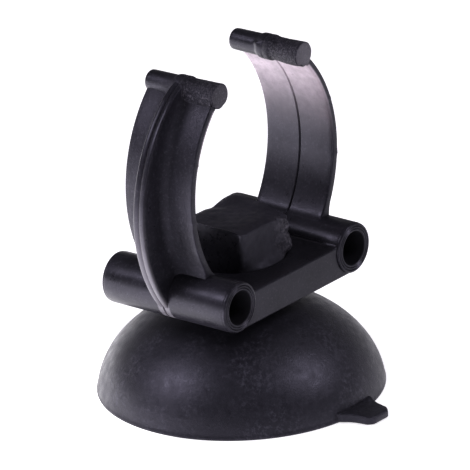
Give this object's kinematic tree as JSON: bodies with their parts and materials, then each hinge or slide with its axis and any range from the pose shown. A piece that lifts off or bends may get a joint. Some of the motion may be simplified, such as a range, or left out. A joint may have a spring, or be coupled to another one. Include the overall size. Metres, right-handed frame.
{
  "type": "suction cup heater clip",
  "caption": "Domed rubber suction cup with a pull tab, carrying a swivelling plastic clip whose two C-shaped arms grip a round tube.",
  "frame": {"origin": "on the suction cup's axis, in the plane of its rim, which is the face of the glass", "axes": "+Z points away from the glass, the held tube lies along Y, the arms stand at -X (left) and +X (right), and the pull tab is at -Y"},
  "size_m": [0.0416, 0.0444, 0.0489],
  "materials": {
    "cup_rubber": "matt black moulded rubber",
    "clip_plastic": "satin black moulded plastic"
  },
  "bodies": {
    "root": {"cup_skirt": "cup_rubber"},
    "pull_tab": {"pull_tab": "cup_rubber"},
    "cup_core": {"cup_stem": "cup_rubber", "retaining_head": "cup_rubber"},
    "clip": {"base_plate": "clip_plastic", "left_tube": "clip_plastic", "right_tube": "clip_plastic"},
    "left_arm": {"left_arm": "clip_plastic"},
    "right_arm": {"right_arm": "clip_plastic"}
  },
  "joints": [
    {"name": "cup_press", "type": "slide", "parent": "root", "child": "cup_core", "axis": [0, 0, -1], "range_m": [0, 0.004], "stiffness_N_per_m": 2500, "deforming": ["cup_skirt"]},
    {"name": "clip_swivel", "type": "hinge", "parent": "cup_core", "child": "clip", "pos_m": [0, 0, 0.0146], "axis": [0, 0, 1], "continuous": true},
    {"name": "left_arm_flex", "type": "hinge", "parent": "clip", "child": "left_arm", "pos_m": [-0.0127, 0, 0.0182], "axis": [0, -1, 0], "range_deg": [0, 12], "stiffness_Nm_per_rad": 0.8},
    {"name": "right_arm_flex", "type": "hinge", "parent": "clip", "child": "right_arm", "pos_m": [0.0127, 0, 0.0182], "axis": [0, 1, 0], "range_deg": [0, 12], "stiffness_Nm_per_rad": 0.8},
    {"name": "tab_bend", "type": "hinge", "parent": "root", "child": "pull_tab", "pos_m": [0, -0.0203, 0.0014], "axis": [-1, 0, 0], "range_deg": [0, 60], "stiffness_Nm_per_rad": 0.0015}
  ]
}
